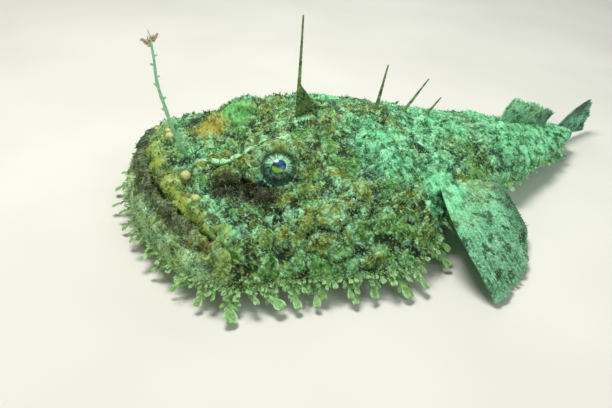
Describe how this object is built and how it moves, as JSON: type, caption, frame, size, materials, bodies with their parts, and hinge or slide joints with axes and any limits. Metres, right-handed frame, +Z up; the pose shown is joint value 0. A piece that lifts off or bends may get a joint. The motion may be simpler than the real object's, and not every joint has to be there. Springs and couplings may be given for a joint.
{
  "type": "anglerfish",
  "caption": "Still life-size model of a bottom-living anglerfish lying flat, with a fringe of branched skin flaps, a fishing rod spine and spread fan fins.",
  "frame": {"origin": "on the floor under the middle of the fish's bounding box", "axes": "+X from the jaw towards the tail, +Y towards the fish's right, +Z up from the floor"},
  "size_m": [0.9072, 0.5893, 0.2846],
  "materials": {
    "skin": "wet mottled olive, brown and mint skin",
    "eye": "clear glossy cornea over a pale streaked iris",
    "fin": "thin wet mottled skin over soft rays",
    "spine": "dark wet skin over a stiff spine"
  },
  "bodies": {
    "root": {"lower_jaw": "skin", "head": "skin", "torso": "skin", "tail": "skin", "eye_left": "eye", "eye_right": "eye", "anal_fin": "fin", "caudal_fin": "fin", "dorsal_fin": "fin", "pectoral_fin_left": "fin", "pectoral_fin_right": "fin", "pelvic_fin_left": "fin", "pelvic_fin_right": "fin", "illicium": "spine", "dorsal_spine_2": "spine", "dorsal_spine_3": "spine", "dorsal_spine_4": "spine", "dorsal_spine_5": "spine", "dorsal_spine_6": "spine"}
  },
  "joints": []
}
